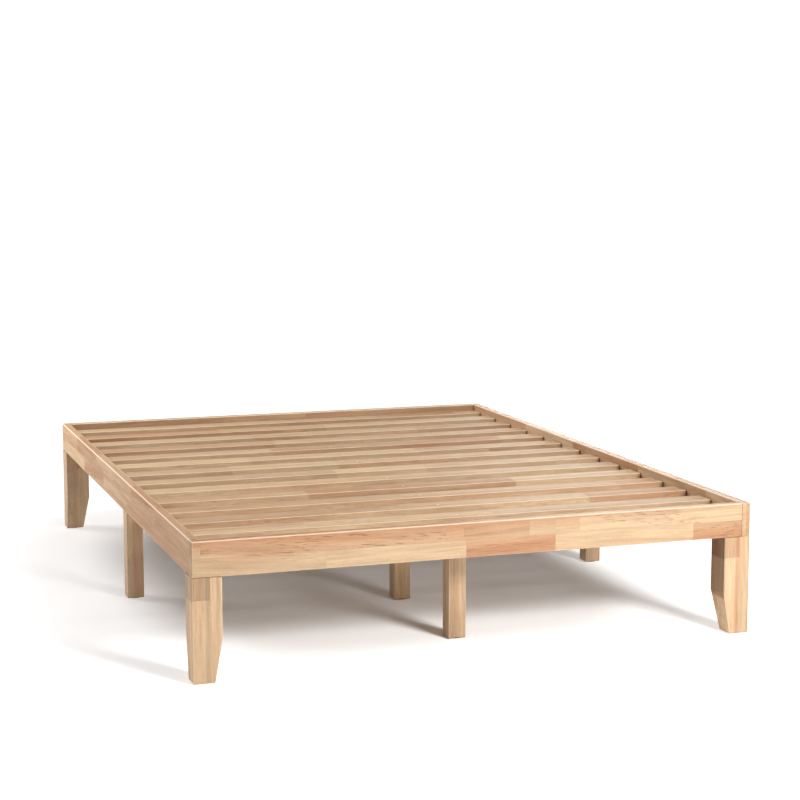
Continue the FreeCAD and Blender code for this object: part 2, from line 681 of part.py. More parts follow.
def connector_bolt(label, length):
    """A low-head connector bolt: head below the local origin, shank along +Z, hexagon socket."""
    radius, head = "sheet.bolt_diameter / 2", "sheet.bolt_head_diameter / 2"
    ease = "sheet.bolt_chamfer"
    bolt = turned(
        label,
        (
            ("0", "-sheet.bolt_head_height"),
            (f"({head} - {ease})", "-sheet.bolt_head_height"),
            (head, f"-sheet.bolt_head_height + {ease}"),
            (head, "0"),
            (radius, "0"),
            (radius, f"({length} - {ease})"),
            (f"({radius} - {ease})", length),
            ("0", length),
        ),
    )
    corner = "sheet.bolt_socket / sqrt(3)"
    sketch = new_sketch(bolt, "XY_Plane", "-sheet.bolt_head_height")
    hexagon = [(f"{corner} * cos({60 * n} deg)", f"{corner} * sin({60 * n} deg)") for n in range(6)]
    draw_polygon(sketch, hexagon)
    pocket(bolt, sketch, "sheet.bolt_head_height - sheet.bolt_socket_floor", reverse=True)
    return bolt


def ring(label, outer, inner, length):
    """A washer or a plain sleeve, from the local origin along +Z."""
    body = new_body(label, keep=False)
    sketch = new_sketch(body, "XY_Plane")
    draw_circles(sketch, [("0", "0")], outer)
    draw_circles(sketch, [("0", "0")], inner)
    pad(body, sketch, length)
    return body


def rod(label, diameter, length, ease):
    """A dowel, stud or pad: a rod along +Z with eased ends."""
    radius = f"{diameter} / 2"
    return turned(
        label,
        (
            ("0", "0"),
            (f"({radius} - {ease})", "0"),
            (radius, ease),
            (radius, f"({length} - {ease})"),
            (f"({radius} - {ease})", length),
            ("0", length),
        ),
    )


def cut_crossed_slots(screw, level):
    """Cut the crossed slots of a screw head whose face is at a level of the local Z axis."""
    reach, side = "sheet.slot_reach", "sheet.slot_half_width"
    for long_x, long_y in ((reach, side), (side, reach)):
        sketch = new_sketch(screw, "XY_Plane", level)
        draw_rectangle(sketch, (f"-{long_x}", f"-{long_y}"), (long_x, long_y))
        pocket(screw, sketch, "sheet.slot_depth", reverse=True)


def wood_screw(label, length):
    """A countersunk wood screw: head flush with the local origin, shank along +Z, crossed slots."""
    radius, head = "sheet.screw_diameter / 2", "sheet.screw_head / 2"
    screw = turned(
        label,
        (
            ("0", "0"),
            (head, "0"),
            (radius, f"({head} - {radius})"),
            (radius, f"({length} - sheet.screw_point)"),
            ("sheet.screw_tip", length),
            ("0", length),
        ),
    )
    cut_crossed_slots(screw, "0")
    return screw


def pan_screw(label, length):
    """A pan head screw: head below the local origin, shank along +Z."""
    radius, head = "sheet.screw_diameter / 2", "sheet.screw_head / 2"
    screw = turned(
        label,
        (
            ("0", "-sheet.pan_head_height"),
            (f"({head} - sheet.pan_head_chamfer)", "-sheet.pan_head_height"),
            (head, "sheet.pan_head_chamfer - sheet.pan_head_height"),
            (head, "0"),
            (radius, "0"),
            (radius, f"({length} - sheet.screw_point)"),
            ("sheet.screw_tip", length),
            ("0", length),
        ),
    )
    cut_crossed_slots(screw, "-sheet.pan_head_height")
    return screw


def add_group(label, piece, places):
    """A node that holds one copy of a piece at each (start, direction)."""
    copies = []
    for start, direction in places:
        copy = piece.Shape.copy()
        copy.Placement = Placement(start, Rotation(Z_AXIS, direction))
        copies.append(copy)
    group = doc.addObject("Part::Feature", label)
    group.Label = label
    group.Shape = Part.makeCompound(copies)
    subparts.append(group)


half_x, half_y = value(HALF_WIDTH), value(HALF_LENGTH)
leg_face = value("sheet.corner_leg_width")
washer = value("sheet.washer_thickness")
rail_thickness = value("sheet.rail_thickness")
corners = [(side, end) for side in (-1, 1) for end in (-1, 1)]


def corner_bolt_places(lift):
    """Connector bolts of the four corner legs, started lift above the post's inner faces."""
    places = []
    for side, end in corners:
        for offset in ("sheet.side_bolt_near", "sheet.side_bolt_far"):
            across = side * (half_x - leg_face - lift)
            along = end * (half_y - value(offset))
            level = value("sheet.side_bolt_level")
            places.append((Vector(across, along, level), Vector(side, 0, 0)))
        for name in ("sheet.end_bolt_low", "sheet.end_bolt_high"):
            across = side * (half_x - value("sheet.end_bolt_offset"))
            along = end * (half_y - leg_face - lift)
            places.append((Vector(across, along, value(name)), Vector(0, end, 0)))
    return places


def middle_bolt_places(lift):
    """Connector bolts of the two middle legs, started lift above the post's inner face."""
    across = half_x - value(MIDDLE_DEPTH) - lift
    along = value(MIDDLE_ALONG)
    levels = (value("sheet.end_bolt_low"), value("sheet.middle_bolt_high"))
    return [
        (Vector(side * across, along, level), Vector(side, 0, 0)) for side in (-1, 1) for level in levels
    ]


POST = "(sheet.corner_leg_width - sheet.rail_thickness)"
corner_bolt = connector_bolt("corner_bolt", f"(sheet.washer_thickness + {POST} + sheet.bolt_grip)")
add_group("corner_bolts", corner_bolt, corner_bolt_places(washer))

MIDDLE_POST = f"({MIDDLE_DEPTH} - sheet.rail_thickness)"
middle_bolt = connector_bolt("middle_bolt", f"(sheet.washer_thickness + {MIDDLE_POST} + sheet.bolt_grip)")
add_group("middle_leg_bolts", middle_bolt, middle_bolt_places(washer))

washer_ring = ring("washer", "sheet.washer_diameter", "sheet.bolt_hole", "sheet.washer_thickness")
add_group("bolt_washers", washer_ring, corner_bolt_places(washer) + middle_bolt_places(washer))

rail_insert = ring("rail_insert", "sheet.insert_diameter", "sheet.bolt_diameter", "sheet.insert_length")
behind_corner, behind_middle = value(POST), value(MIDDLE_POST)
add_group(
    "rail_threaded_inserts",
    rail_insert,
    corner_bolt_places(-behind_corner) + middle_bolt_places(-behind_middle),
)

beam_insert = ring(
    "beam_insert", "sheet.beam_insert_diameter", "sheet.stud_diameter", "sheet.insert_length"
)
beam_bottom = value(BEAM_BOTTOM)
stations = [value(station) for station in CENTRE_STATIONS]
up = Vector(0, 0, 1)
add_group("beam_threaded_inserts", beam_insert, [(Vector(0, along, beam_bottom), up) for along in stations])

stud = rod("stud", "sheet.stud_diameter", "(sheet.stud_depth + sheet.stud_grip)", "sheet.rod_chamfer")
stud_start = beam_bottom - value("sheet.stud_depth")
add_group("centre_leg_hanger_bolts", stud, [(Vector(0, along, stud_start), up) for along in stations])


def dowel_places():
    """The two dowels of each rail corner, started in the covering rail and running into the other."""
    covering = (
        # the covering end of each rail: outer corner, direction into the butting rail
        (Vector(-half_x, -half_y, 0), Vector(0, 1, 0)),
        (Vector(half_x, -half_y, 0), Vector(-1, 0, 0)),
        (Vector(half_x, half_y, 0), Vector(0, -1, 0)),
        (Vector(-half_x, half_y, 0), Vector(1, 0, 0)),
    )
    along_rail = (Vector(1, 0, 0), Vector(0, 1, 0), Vector(-1, 0, 0), Vector(0, -1, 0))
    places = []
    for (corner, inwards), along in zip(covering, along_rail):
        for level in ("sheet.dowel_low", "sheet.dowel_high"):
            depth = rail_thickness - value("sheet.dowel_face_depth")
            start = corner + along * (rail_thickness / 2) + inwards * depth
            start.z = value(RAIL_BOTTOM) + value(level)
            places.append((start, inwards))
    return places


dowel_length = "(sheet.dowel_face_depth + sheet.dowel_end_depth)"
dowel = rod("dowel", "sheet.dowel_diameter", dowel_length, "sheet.rod_chamfer")
add_group("corner_dowels", dowel, dowel_places())

slat_line = value(LEDGER_LINE)
down = Vector(0, 0, -1)
deck = value(DECK_TOP)
slat_screw = wood_screw("slat_screw", "sheet.slat_screw_length")
slat_lines = [value(place) - half_y for place in slat_places()]
add_group(
    "slat_screws",
    slat_screw,
    [(Vector(across, along, deck), down) for along in slat_lines for across in (-slat_line, 0, slat_line)],
)

ledger_screw = wood_screw("ledger_screw", "sheet.ledger_screw_length")
ledger_face = half_x - rail_thickness - value("sheet.ledger_width")
ledger_level = value(f"{LEDGER_BOTTOM} + sheet.ledger_height / 2")
ledger_lines = [value(place) - half_y for place in ledger_screws_on_side(False)]
add_group(
    "ledger_screws",
    ledger_screw,
    [
        (Vector(side * ledger_face, along, ledger_level), Vector(side, 0, 0))
        for side in (-1, 1)
        for along in ledger_lines
    ],
)

flange_screw = pan_screw("flange_screw", "sheet.hanger_screw_length")
cheek_screw = pan_screw("cheek_screw", f"({CHEEK_SCREW_DEPTH} + sheet.hanger_plate)")
plate = value("sheet.hanger_plate")
hanger_bottom = value(HANGER_BOTTOM)
rail_face = half_y - rail_thickness - plate
add_group(
    "hanger_flange_screws",
    flange_screw,
    [
        (Vector(value(across), end * rail_face, hanger_bottom + value(level)), Vector(0, end, 0))
        for end in (-1, 1)
        for across, level in hanger_screw_places()
    ],
)
cheek_face = value("sheet.beam_width") / 2 + plate
cheek_along = half_y - rail_thickness - value("sheet.hanger_reach") / 2
cheek_level = hanger_bottom + value(CHEEK_SCREW_LEVEL)
add_group(
    "hanger_cheek_screws",
    cheek_screw,
    [
        (Vector(side * cheek_face, end * cheek_along, cheek_level), Vector(-side, 0, 0))
        for side in (-1, 1)
        for end in (-1, 1)
    ],
)

felt_pad = rod("felt_pad", "sheet.pad_diameter", "sheet.pad_thickness", "sheet.pad_chamfer")
corner_centre = value("sheet.corner_leg_foot") / 2
middle_centre = value("sheet.middle_leg_inset") + value("sheet.middle_leg_width") / 2
pad_places = [
    Vector(side * (half_x - corner_centre), end * (half_y - corner_centre), 0) for side, end in corners
]
pad_places += [Vector(side * (half_x - middle_centre), value(MIDDLE_ALONG), 0) for side in (-1, 1)]
pad_places += [Vector(0, along, 0) for along in stations]
add_group("felt_pads", felt_pad, [(place, up) for place in pad_places])


# ---------------------------------------------------------------- checks and export
doc.recompute()
for item in doc.Objects:
    if {"Invalid", "Error"} & set(item.State):
        raise RuntimeError(f"{item.Label} failed: {item.State}")
for item in subparts:
    if item.Shape.isNull() or not item.Shape.isValid():
        raise RuntimeError(f"{item.Label} has no valid shape")

os.makedirs("parts", exist_ok=True)
for item in subparts:
    item.Shape.exportStep(os.path.join("parts", f"{item.Label}.step"))
print(f"{len(subparts)} sub-parts written")
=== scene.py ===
import math
import random

import bpy
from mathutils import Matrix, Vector


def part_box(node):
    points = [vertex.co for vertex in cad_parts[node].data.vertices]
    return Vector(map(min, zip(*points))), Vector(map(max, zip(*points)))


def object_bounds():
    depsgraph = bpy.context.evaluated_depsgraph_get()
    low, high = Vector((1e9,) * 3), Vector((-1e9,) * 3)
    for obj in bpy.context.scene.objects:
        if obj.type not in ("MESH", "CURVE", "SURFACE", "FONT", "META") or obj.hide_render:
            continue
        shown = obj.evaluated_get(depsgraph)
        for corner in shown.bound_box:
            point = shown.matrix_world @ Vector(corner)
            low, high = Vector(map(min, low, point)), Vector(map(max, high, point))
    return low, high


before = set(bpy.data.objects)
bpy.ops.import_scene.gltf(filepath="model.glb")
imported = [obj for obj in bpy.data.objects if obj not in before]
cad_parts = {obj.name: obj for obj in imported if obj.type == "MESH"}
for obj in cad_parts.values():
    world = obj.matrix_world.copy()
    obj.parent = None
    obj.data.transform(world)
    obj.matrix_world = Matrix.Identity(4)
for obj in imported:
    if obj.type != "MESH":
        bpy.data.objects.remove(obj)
cad_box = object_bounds()

# The looks of a wooden bed frame: every board is edge-glued from staves, and each gets a wood material
# whose staves are laid out here. Metres, +Z up, the foot of the bed towards -Y, the left side towards -X.

# ---------------------------------------------------------------- node helpers
class Graph:
    """Adds nodes to one tree. Every method returns the output socket that other nodes read."""

    def __init__(self, tree):
        self.tree = tree

    def add(self, kind, inputs=None, output=0, **settings):
        node = self.tree.nodes.new(kind)
        for name, setting in settings.items():
            setattr(node, name, setting)
        for key, source in (inputs or {}).items():
            self.feed(node.inputs[key], source)
        return node.outputs[output]

    def feed(self, socket, source):
        if isinstance(source, bpy.types.NodeSocket):
            self.tree.links.new(source, socket)
        elif socket.type == "VECTOR":
            socket.default_value = source[:3]
        else:
            socket.default_value = source

    def math(self, operation, a, b=0.0, c=0.0, clamp=False):
        return self.add("ShaderNodeMath", {0: a, 1: b, 2: c}, operation=operation, use_clamp=clamp)

    def mix(self, factor, a, b, blend="MIX"):
        return self.add(
            "ShaderNodeMix", {0: factor, 6: a, 7: b}, output=2, data_type="RGBA", blend_type=blend
        )

    def vector(self, x, y, z):
        return self.add("ShaderNodeCombineXYZ", {0: x, 1: y, 2: z})

    def split(self, source):
        node = self.tree.nodes.new("ShaderNodeSeparateXYZ")
        self.feed(node.inputs[0], source)
        return node.outputs[0], node.outputs[1], node.outputs[2]

    def noise(self, place, scale, detail=2.0, roughness=0.5):
        """Noise from 0 to 1, with its own scale along each axis, in cycles a metre."""
        stretched = self.add("ShaderNodeVectorMath", {0: place, 1: scale}, operation="MULTIPLY")
        inputs = {"Vector": stretched, "Scale": 1.0, "Detail": detail, "Roughness": roughness}
        return self.add("ShaderNodeTexNoise", inputs)

    def between(self, source, low, high):
        """0 below low, 1 above high, smooth between."""
        inputs = {0: source, 1: low, 2: high, 3: 0.0, 4: 1.0}
        return self.add("ShaderNodeMapRange", inputs, interpolation_type="SMOOTHSTEP")

    def swing(self, source, amount):
        """A factor about 1 that a 0-to-1 source moves by amount either way."""
        return self.math("MULTIPLY_ADD", source, 2.0 * amount, 1.0 - amount)


def rgb(red, green, blue):
    return (red, green, blue, 1.0)


def new_material(name):
    """A material with an empty tree, and its Principled shader."""
    material = bpy.data.materials.new(name)
    material.use_nodes = True
    tree = material.node_tree
    tree.nodes.clear()
    shader = tree.nodes.new("ShaderNodeBsdfPrincipled")
    output = tree.nodes.new("ShaderNodeOutputMaterial")
    tree.links.new(shader.outputs[0], output.inputs[0])
    return material, Graph(tree), shader


# ---------------------------------------------------------------- timber
PALE = rgb(0.430, 0.302, 0.184)
SALMON = rgb(0.345, 0.178, 0.094)
LINE = rgb(0.210, 0.080, 0.036)
BROWN = rgb(0.105, 0.045, 0.022)
SEAM = rgb(0.100, 0.050, 0.026)
# The colour of the painted highlight on rounded edges.
EDGE_HIGHLIGHT = rgb(0.780, 0.640, 0.470)
END_GRAIN = rgb(0.86, 0.74, 0.62)

# How far each part of the figure moves the tone either way, and how strongly the dark parts cover it.
BAND_SWING = 0.24
STREAK_SWING = 0.28
GRAIN_SWING = 0.12
PORE_COVER = 0.22
FLECK_COVER = 0.70
SEAM_COVER = 0.35
END_LINE_COVER = 0.80
END_GRAIN_COVER = 0.30

LACQUER_ROUGHNESS = 0.50
LACQUER_SPECULAR = 0.12
GRAIN_RELIEF = 0.00025


def timber_group():
    """Solid wood of one stave, as a group: its grain runs along the first axis of Place."""
    tree = bpy.data.node_groups.new("timber", "ShaderNodeTree")
    sockets = (("Place", "NodeSocketVector"),) + tuple(
        (name, "NodeSocketFloat") for name in ("Redness", "Lightness", "Flecks", "Seed")
    )
    for name, kind in sockets:
        tree.interface.new_socket(name, in_out="INPUT", socket_type=kind)
    sockets = (("Color", "NodeSocketColor"), ("Roughness", "NodeSocketFloat"), ("Height", "NodeSocketFloat"))
    for name, kind in sockets:
        tree.interface.new_socket(name, in_out="OUTPUT", socket_type=kind)
    g = Graph(tree)
    given = tree.nodes.new("NodeGroupInput").outputs
    result = tree.nodes.new("NodeGroupOutput").inputs

    # Each stave is cut from another part of the tree, and its grain runs a little off its length. The
    # factors of the seed only make the staves differ.
    seed = given["Seed"]
    shift = g.vector(*(g.math("MULTIPLY", seed, step) for step in (3.7, 1.9, 5.3)))
    slope = g.math("MULTIPLY", g.math("SINE", g.math("MULTIPLY", seed, 4.1)), 0.045)
    along, across, depth = g.split(given["Place"])
    across = g.math("MULTIPLY_ADD", along, slope, across)
    place = g.add("ShaderNodeVectorMath", {0: g.vector(along, across, depth), 1: shift}, operation="ADD")
    along, across, depth = g.split(place)

    # Growth rings: wavy surfaces that run the stave's length and cross its section at an angle of its own.
    lean = g.math("MULTIPLY", seed, 2.4)
    tilted = g.math(
        "ADD",
        g.math("MULTIPLY", across, g.math("SINE", lean)),
        g.math("MULTIPLY", depth, g.math("COSINE", lean)),
    )
    bend = g.noise(place, (2.2, 9.0, 9.0), detail=2.0)
    ring = g.math("MULTIPLY_ADD", bend, 0.06, tilted)
    bands = g.noise(g.vector(ring, 0.0, seed), (95.0, 1.0, 9.0), detail=3.0, roughness=0.6)

    # The figure. Scales are along the grain, then across it both ways.
    broad = g.noise(place, (1.5, 30.0, 30.0), detail=2.0)
    streaks = g.noise(place, (7.0, 120.0, 120.0), detail=3.0, roughness=0.55)
    lines = g.between(g.noise(place, (11.0, 230.0, 230.0), detail=2.0, roughness=0.6), 0.57, 0.72)
    grain = g.noise(place, (34.0, 1500.0, 1500.0), detail=2.0, roughness=0.6)
    pores = g.between(g.noise(place, (85.0, 1900.0, 1900.0), detail=1.0), 0.60, 0.70)
    patches = g.between(g.noise(place, (5.0, 26.0, 26.0), detail=1.0), 0.34, 0.54)
    dashes = g.between(g.noise(place, (34.0, 330.0, 330.0), detail=2.0), 0.54, 0.64)
    flecks = g.math("MULTIPLY", g.math("MULTIPLY", dashes, patches), given["Flecks"])

    redness = g.math("MULTIPLY_ADD", g.math("SUBTRACT", broad, 0.5), 2.0, given["Redness"], clamp=True)
    colour = g.mix(redness, PALE, SALMON)
    tone = g.math("MULTIPLY_ADD", given["Lightness"], 0.5, 1.0)
    swings = (g.swing(bands, BAND_SWING), g.swing(streaks, STREAK_SWING), g.swing(grain, GRAIN_SWING))
    for factor in swings:
        tone = g.math("MULTIPLY", tone, factor)
    colour = g.mix(1.0, colour, g.vector(tone, tone, tone), "MULTIPLY")
    line_cover = g.math("MULTIPLY_ADD", redness, 0.26, 0.16)
    colour = g.mix(g.math("MULTIPLY", lines, line_cover), colour, LINE)
    colour = g.mix(g.math("MULTIPLY", pores, PORE_COVER), colour, BROWN)
    colour = g.mix(g.math("MULTIPLY", flecks, FLECK_COVER), colour, BROWN)

    rough = g.math("MULTIPLY_ADD", g.math("SUBTRACT", grain, 0.5), 0.22, LACQUER_ROUGHNESS)
    rough = g.math("MULTIPLY_ADD", pores, 0.12, rough)
    height = g.math("MULTIPLY_ADD", g.math("SUBTRACT", streaks, 0.5), 0.35, 0.5)
    height = g.math("MULTIPLY_ADD", grain, 0.25, height)
    height = g.math("MULTIPLY_ADD", pores, -0.35, height)
    g.feed(result["Color"], colour)
    g.feed(result["Roughness"], rough)
    g.feed(result["Height"], height)
    return tree


TIMBER = timber_group()

# How a board lies: the axes, 0 for X to 2 for Z, of its length, of the width that its rows divide, and
# of its depth.
ACROSS_BED = (0, 2, 1)
ALONG_BED = (1, 2, 0)
UPRIGHT = (2, 0, 1)
SLAT_WISE = (0, 1, 2)

FINGER_DEPTH = 0.008
FINGER_PITCH = 0.0042
SEAM_HALF = 0.00022
END_LINE = 0.0014

# How far a normal lies along one axis, from where a surface counts as rounded to where it is flat, and from
# where it counts as a side to where it is end grain.
ROUNDED_TO_FLAT = (0.90, 0.985)
SIDE_TO_END = (0.75, 0.95)

# Added to a lightness while it is stored in a colour socket, which holds nothing below 0.
LIGHTNESS_SHIFT = 1.0

# Added to a stave's seed for each row and for each glued layer, so that neighbours differ in figure.
ROW_SEED_STEP = 11.3
LAYER_SEED_STEP = 5.7


def stave_tone(redness, lightness, flecks):
    """A stave's look, packed into a colour."""
    return rgb(redness, lightness + LIGHTNESS_SHIFT, flecks)


def stave_row(g, along, staves, seed):
    """Tone, seed and end seams of one row. staves are (start, redness, lightness, flecks), in order."""
    tone = stave_tone(*staves[0][1:])
    count = seed
    seams = 0.0
    for start, *look in staves[1:]:
        past = g.math("GREATER_THAN", along, start)
        tone = g.mix(past, tone, stave_tone(*look))
        count = g.math("ADD", count, past)
        seams = g.math("MAXIMUM", seams, g.math("COMPARE", along, start, SEAM_HALF))
    return tone, count, seams


def dress_board(node, lie, rows, layers=(), drift=(), gloss=0.0, seed=0.0):
    """Puts on a node the wood of one board, or of boards that lie alike.

    rows are (where the row starts across the board, its staves), in order. layers are (where a glued layer
    starts in depth, its redness shift, its lightness shift), after the first. drift is (place across, redness
    shift there, lightness shift there), in order, from no shift, and blends between. All places are metres
    from the board's own low corner. gloss lowers the roughness, and seed picks the figure.
    """
    material, g, shader = new_material(f"{node}_wood")
    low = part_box(node)[0]
    coordinates = g.tree.nodes.new("ShaderNodeTexCoord")
    axes = g.split(coordinates.outputs["Object"])
    facing = g.split(coordinates.outputs["Normal"])
    along, across, depth = (g.math("SUBTRACT", axes[axis], low[axis]) for axis in lie)

    # A board's own ends show as fine dark lines where it meets its neighbours.
    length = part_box(node)[1][lie[0]] - low[lie[0]]
    from_end = g.math("PINGPONG", along, length / 2)
    ends = g.math("LESS_THAN", from_end, END_LINE)

    # The fingers of the joints show on the board's edges; on its faces a joint is a straight line.
    fingers = g.math("PINGPONG", depth, FINGER_PITCH / 2)
    fingered = g.math("MULTIPLY_ADD", fingers, 2 * FINGER_DEPTH / FINGER_PITCH, along)

    tone, count, seams = stave_row(g, fingered, rows[0][1], seed)
    for number, (start, staves) in enumerate(rows[1:], start=1):
        inside = g.math("GREATER_THAN", across, start)
        next_tone, next_count, next_seams = stave_row(g, fingered, staves, seed + ROW_SEED_STEP * number)
        tone = g.mix(inside, tone, next_tone)
        count = g.math("MULTIPLY_ADD", inside, g.math("SUBTRACT", next_count, count), count)
        seams = g.math("MULTIPLY_ADD", inside, g.math("SUBTRACT", next_seams, seams), seams)
        seams = g.math("MAXIMUM", seams, g.math("COMPARE", across, start, SEAM_HALF))

    redness, lightness, flecks = g.split(tone)
    lightness = g.math("SUBTRACT", lightness, LIGHTNESS_SHIFT)
    for start, redder, lighter in layers:
        inside = g.math("GREATER_THAN", depth, start)
        redness = g.math("MULTIPLY_ADD", inside, redder, redness)
        lightness = g.math("MULTIPLY_ADD", inside, lighter, lightness)
        count = g.math("MULTIPLY_ADD", inside, LAYER_SEED_STEP, count)
        seams = g.math("MAXIMUM", seams, g.math("COMPARE", depth, start, SEAM_HALF))
    for (start, red, light), (end, next_red, next_light) in zip(drift, drift[1:]):
        reached = g.add("ShaderNodeMapRange", {0: across, 1: start, 2: end, 3: 0.0, 4: 1.0})
        redness = g.math("MULTIPLY_ADD", reached, next_red - red, redness)
        lightness = g.math("MULTIPLY_ADD", reached, next_light - light, lightness)

    wood = g.tree.nodes.new("ShaderNodeGroup")
    wood.node_tree = TIMBER
    sources = (g.vector(along, across, depth), redness, lightness, flecks, count)
    for socket, source in zip(wood.inputs, sources):
        g.feed(socket, source)

    # End grain drinks more lacquer, so it is darker and duller. Rounded edges are painted paler as a
    # highlight, strongest where they face up and least underneath.
    end_on = g.between(g.math("ABSOLUTE", facing[lie[0]]), *SIDE_TO_END)
    flattest = g.math(
        "MAXIMUM",
        g.math("MAXIMUM", g.math("ABSOLUTE", facing[0]), g.math("ABSOLUTE", facing[1])),
        g.math("ABSOLUTE", facing[2]),
    )
    edge = g.math("SUBTRACT", 1.0, g.between(flattest, *ROUNDED_TO_FLAT))
    colour = g.mix(g.math("MULTIPLY", seams, SEAM_COVER), wood.outputs["Color"], SEAM)
    colour = g.mix(g.math("MULTIPLY", end_on, END_GRAIN_COVER), colour, END_GRAIN, "MULTIPLY")
    # Painted highlight: rounded edges are lightened, more where they face up than where they face down.
    highlight_strength = g.add("ShaderNodeMapRange", {0: facing[2], 1: -0.5, 2: 0.5, 3: 0.1, 4: 0.66})
    colour = g.mix(g.math("MULTIPLY", edge, highlight_strength), colour, EDGE_HIGHLIGHT)
    line = g.math("MULTIPLY", ends, g.math("SUBTRACT", 1.0, end_on))
    colour = g.mix(g.math("MULTIPLY", line, END_LINE_COVER), colour, SEAM)
    g.feed(shader.inputs["Base Color"], colour)
    rough = g.math("MULTIPLY_ADD", end_on, 0.14, wood.outputs["Roughness"])
    rough = g.math("MULTIPLY_ADD", edge, -0.08, rough)
    g.feed(shader.inputs["Roughness"], g.math("SUBTRACT", rough, gloss))
    height = g.math("MULTIPLY_ADD", seams, -0.8, wood.outputs["Height"])
    bump = g.add("ShaderNodeBump", {"Height": height, "Strength": 0.5, "Distance": GRAIN_RELIEF})
    g.feed(shader.inputs["Normal"], bump)
    shader.inputs["Specular IOR Level"].default_value = LACQUER_SPECULAR
    wear(node, material)


def wear(node, material):
    """Puts a material on a CAD node."""
    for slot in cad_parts[node].material_slots:
        slot.material = material


REDNESS_SPREAD = 0.22
LIGHTNESS_SPREAD = 0.16


def random_staves(draw, length, shortest, longest, redness, flecks=0.35):
    """Staves along a length, of random lengths, tones and flecks about a usual redness."""
    staves = []
    start = 0.0
    while start < length:
        look = (
            min(max(draw.gauss(redness, REDNESS_SPREAD), 0.0), 1.0),
            draw.uniform(-LIGHTNESS_SPREAD, LIGHTNESS_SPREAD),
            flecks * draw.random(),
        )
        staves.append((start, *look))
        start += draw.uniform(shortest, longest)
    return staves


# ---------------------------------------------------------------- rails
def dress_rails():
    """Two rows of staves a rail, placed one by one but for the head rail's, which are drawn at random."""
    low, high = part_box("foot_rail")
    middle = (high[2] - low[2]) / 2
    lower = (
        (0.0, 0.13, -0.07, 0.25),
        (0.344, 0.06, 0.02, 0.15),
        (0.722, 0.95, -0.03, 0.20),
        (0.972, 0.12, 0.05, 0.10),
        (1.376, 1.00, -0.03, 1.00),
    )
    upper = (
        (0.0, 0.52, -0.10, 0.10),
        (0.022, 0.53, 0.01, 0.70),
        (0.666, 0.90, 0.03, 0.10),
        (0.715, 0.72, 0.00, 0.20),
        (0.898, 0.00, -0.04, 0.05),
        (0.972, 0.24, -0.02, 0.10),
        (1.040, 0.06, 0.06, 0.60),
    )
    drift = ((0.0, 0.0, 0.0), (0.02, -0.10, 0.04), (0.055, -0.22, 0.02), (0.085, 0.22, -0.02))
    dress_board("foot_rail", ACROSS_BED, ((0.0, lower), (middle, upper)), drift=drift, seed=0.4)

    lower = (
        (0.0, 0.66, -0.08, 0.20),
        (0.300, 0.46, 0.02, 0.15),
        (0.820, 0.36, 0.04, 0.10),
        (1.210, 0.62, -0.02, 0.30),
        (1.560, 0.26, 0.14, 0.05),
    )
    upper = (
        (0.0, 0.64, -0.06, 0.15),
        (0.420, 0.70, 0.00, 0.40),
        (0.760, 0.42, 0.00, 0.10),
        (1.330, 0.60, 0.05, 0.20),
        (1.700, 0.58, 0.15, 0.15),
    )
    dress_board("left_side_rail", ALONG_BED, ((0.0, lower), (middle, upper)), gloss=-0.12, seed=5.1)

    # The right side rail is glued from two thicknesses, which its end shows at the foot.
    lower = (
        (0.0, 0.04, 0.10, 0.10),
        (0.390, 0.50, -0.05, 0.30),
        (0.870, 0.15, 0.05, 0.10),
        (1.330, 0.35, -0.12, 0.20),
        (1.740, 0.70, 0.00, 0.20),
    )
    upper = (
        (0.0, 0.04, 0.10, 0.10),
        (0.210, 0.30, 0.00, 0.10),
        (0.640, 0.65, -0.08, 0.40),
        (1.120, 0.10, 0.06, 0.05),
        (1.520, 0.45, 0.00, 0.30),
    )
    layers = ((0.0125, 0.50, -0.06),)
    dress_board("right_side_rail", ALONG_BED, ((0.0, lower), (middle, upper)), layers, seed=8.2)

    draw = random.Random(40)
    low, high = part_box("head_rail")
    length = high[0] - low[0]
    rows = tuple((start, random_staves(draw, length, 0.16, 0.62, 0.30)) for start in (0.0, middle))
    dress_board("head_rail", ACROSS_BED, rows, seed=2.0)


